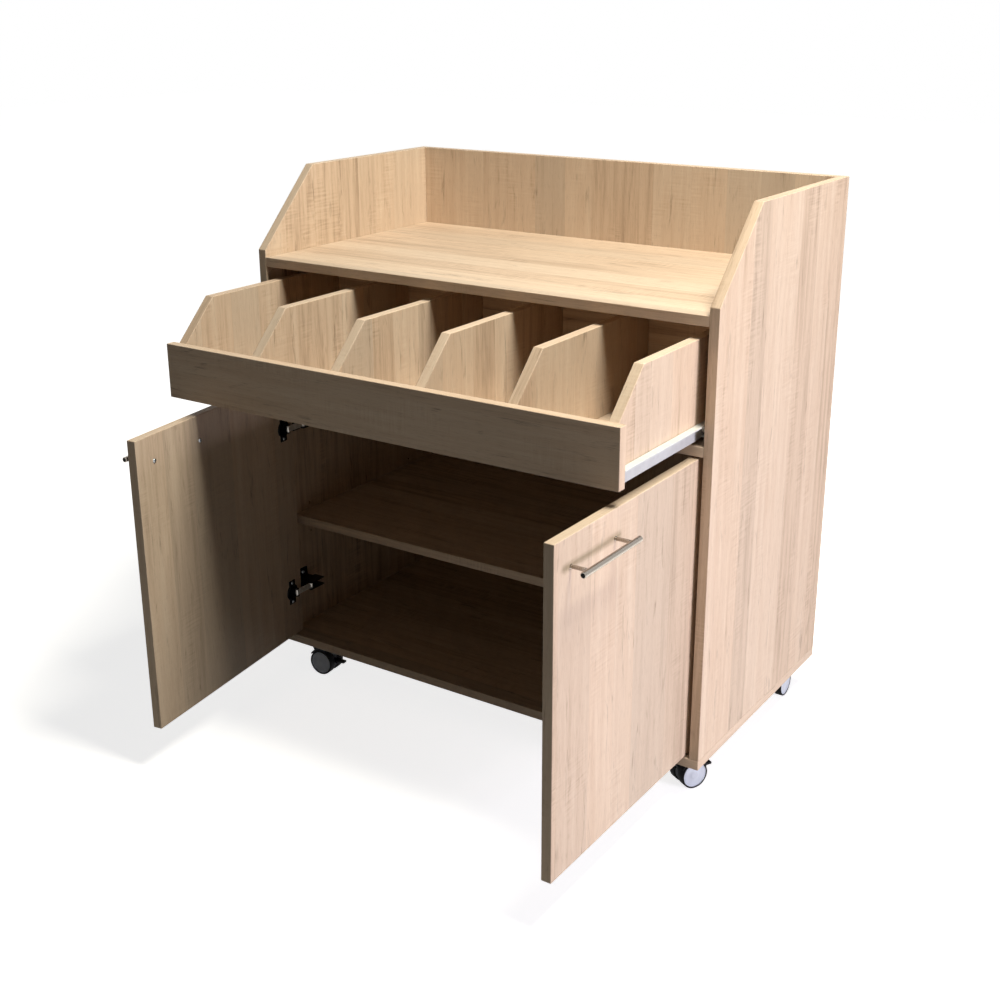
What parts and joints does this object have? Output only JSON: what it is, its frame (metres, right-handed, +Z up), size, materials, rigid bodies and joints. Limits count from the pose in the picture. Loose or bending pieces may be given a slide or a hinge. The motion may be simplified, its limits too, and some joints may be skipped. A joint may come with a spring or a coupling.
{
  "type": "waiter service station",
  "caption": "Mobile waiter station in pale oak board: raised worktop, divided cutlery drawer, two-door cupboard with a shelf, on swivel castors.",
  "frame": {"origin": "on the floor, midway between the sides, in the middle of the plan with the drawer out and the doors open", "axes": "+Z up from the floor, +Y towards the back panel, +X to the right of a person who faces the doors"},
  "size_m": [0.9922, 0.9921, 1.057],
  "materials": {
    "oak_melamine": "matt melamine on chipboard, pale oak print",
    "beech": "turned",
    "satin_steel": "satin",
    "white_enamel": "epoxy coated",
    "nylon": "moulded",
    "nickel": "nickel plated",
    "zinc": "zinc plated",
    "black_steel": "black plated",
    "black_nylon": "moulded",
    "grey_plastic": "moulded",
    "tread": "soft polyurethane"
  },
  "bodies": {
    "carcass": {"adjustable_shelf": "oak_melamine", "back_panel": "oak_melamine", "base_screws": "zinc", "bottom_panel": "oak_melamine", "cam_fittings": "zinc", "castor_plates": "zinc", "castor_screws": "zinc", "divider_panel": "oak_melamine", "hinge_arms": "black_steel", "hinge_plate_screws": "zinc", "hinge_plates": "black_steel", "left_runner_cabinet_member": "white_enamel", "left_side_panel": "oak_melamine", "panel_dowels": "beech", "right_runner_cabinet_member": "white_enamel", "right_side_panel": "oak_melamine", "runner_screws": "zinc", "shelf_pins": "zinc", "worktop": "oak_melamine"},
    "drawer": {"drawer_front": "oak_melamine", "drawer_left_side": "oak_melamine", "drawer_right_side": "oak_melamine", "drawer_back": "oak_melamine", "drawer_bottom": "oak_melamine", "drawer_divider_1": "oak_melamine", "drawer_divider_2": "oak_melamine", "drawer_divider_3": "oak_melamine", "drawer_divider_4": "oak_melamine", "drawer_dowels": "beech", "drawer_runner_screws": "zinc", "left_runner_drawer_member": "white_enamel", "right_runner_drawer_member": "white_enamel"},
    "front_rollers": {"front_rollers": "nylon"},
    "rear_rollers": {"rear_rollers": "nylon"},
    "left_door": {"left_door": "oak_melamine", "left_handle_bar": "satin_steel", "left_handle_posts": "satin_steel", "left_door_screws": "zinc", "left_hinge_cups": "black_steel"},
    "left_hinge_links": {"left_hinge_links": "nickel"},
    "right_door": {"right_door": "oak_melamine", "right_handle_bar": "satin_steel", "right_handle_posts": "satin_steel", "right_door_screws": "zinc", "right_hinge_cups": "black_steel"},
    "right_hinge_links": {"right_hinge_links": "nickel"},
    "front_left_castor": {"front_left_castor_hood": "black_nylon"},
    "front_left_wheels": {"front_left_castor_wheels": "grey_plastic", "front_left_castor_tyres": "tread"},
    "front_right_castor": {"front_right_castor_hood": "black_nylon"},
    "front_right_wheels": {"front_right_castor_wheels": "grey_plastic", "front_right_castor_tyres": "tread"},
    "rear_left_castor": {"rear_left_castor_hood": "black_nylon"},
    "rear_left_wheels": {"rear_left_castor_wheels": "grey_plastic", "rear_left_castor_tyres": "tread"},
    "rear_right_castor": {"rear_right_castor_hood": "black_nylon"},
    "rear_right_wheels": {"rear_right_castor_wheels": "grey_plastic", "rear_right_castor_tyres": "tread"},
    "front_left_brake_lever": {"front_left_brake_lever": "black_nylon"},
    "front_right_brake_lever": {"front_right_brake_lever": "black_nylon"}
  },
  "joints": [
    {"name": "drawer_slide", "type": "slide", "parent": "carcass", "child": "drawer", "axis": [0, -1, 0], "range_m": [-0.277, 0.063]},
    {"name": "front_roller_spin", "type": "hinge", "parent": "carcass", "child": "front_rollers", "pos_m": [0, -0.017, 0.6973], "axis": [1, 0, 0], "continuous": true},
    {"name": "rear_roller_spin", "type": "hinge", "parent": "drawer", "child": "rear_rollers", "pos_m": [0, 0.132, 0.6937], "axis": [1, 0, 0], "continuous": true},
    {"name": "right_door_hinge", "type": "hinge", "parent": "carcass", "child": "right_door", "pos_m": [0.4575, -0.04, 0.372], "axis": [0, 0, 1], "range_deg": [-89.5, 15.5]},
    {"name": "right_hinge_link_turn", "type": "hinge", "parent": "right_door", "child": "right_hinge_links", "pos_m": [0.43736, -0.05582, 0.372], "axis": [0, 0, 1], "range_deg": [-15.5, 89.5]},
    {"name": "left_door_hinge", "type": "hinge", "parent": "carcass", "child": "left_door", "pos_m": [-0.4575, -0.04, 0.372], "axis": [0, 0, -1], "range_deg": [-82.3, 22.7]},
    {"name": "left_hinge_link_turn", "type": "hinge", "parent": "left_door", "child": "left_hinge_links", "pos_m": [-0.43554, -0.05318, 0.372], "axis": [0, 0, -1], "range_deg": [-22.7, 82.3]},
    {"name": "front_left_swivel", "type": "hinge", "parent": "carcass", "child": "front_left_castor", "pos_m": [-0.431, -0.008, 0.06], "axis": [0, 0, 1], "continuous": true},
    {"name": "front_left_wheel_spin", "type": "hinge", "parent": "front_left_castor", "child": "front_left_wheels", "pos_m": [-0.40407, -0.00612, 0.027], "axis": [-0.0698, 0.9976, 0], "continuous": true},
    {"name": "front_left_brake", "type": "hinge", "parent": "front_left_castor", "child": "front_left_brake_lever", "pos_m": [-0.37028, -0.00375, 0.02996], "axis": [-0.0698, 0.9976, 0], "range_deg": [0, 15]},
    {"name": "front_right_swivel", "type": "hinge", "parent": "carcass", "child": "front_right_castor", "pos_m": [0.431, -0.008, 0.06], "axis": [0, 0, 1], "continuous": true},
    {"name": "front_right_wheel_spin", "type": "hinge", "parent": "front_right_castor", "child": "front_right_wheels", "pos_m": [0.4445, 0.01538, 0.027], "axis": [-0.866, 0.5, 0], "continuous": true},
    {"name": "front_right_brake", "type": "hinge", "parent": "front_right_castor", "child": "front_right_brake_lever", "pos_m": [0.46143, 0.04472, 0.02996], "axis": [-0.866, 0.5, 0], "range_deg": [0, 15]},
    {"name": "rear_left_swivel", "type": "hinge", "parent": "carcass", "child": "rear_left_castor", "pos_m": [-0.442, 0.456, 0.06], "axis": [0, 0, 1], "continuous": true},
    {"name": "rear_left_wheel_spin", "type": "hinge", "parent": "rear_left_castor", "child": "rear_left_wheels", "pos_m": [-0.41559, 0.46161, 0.027], "axis": [-0.2079, 0.9781, 0], "continuous": true},
    {"name": "rear_right_swivel", "type": "hinge", "parent": "carcass", "child": "rear_right_castor", "pos_m": [0.442, 0.456, 0.06], "axis": [0, 0, 1], "continuous": true},
    {"name": "rear_right_wheel_spin", "type": "hinge", "parent": "rear_right_castor", "child": "rear_right_wheels", "pos_m": [0.442, 0.429, 0.027], "axis": [1, 0, 0], "continuous": true}
  ],
  "couplings": [
    {"joint": "front_roller_spin", "follows": "drawer_slide", "rad_per_m": 116.28},
    {"joint": "rear_roller_spin", "follows": "drawer_slide", "rad_per_m": 116.28},
    {"joint": "right_hinge_link_turn", "follows": "right_door_hinge", "ratio": -1},
    {"joint": "left_hinge_link_turn", "follows": "left_door_hinge", "ratio": -1}
  ]
}
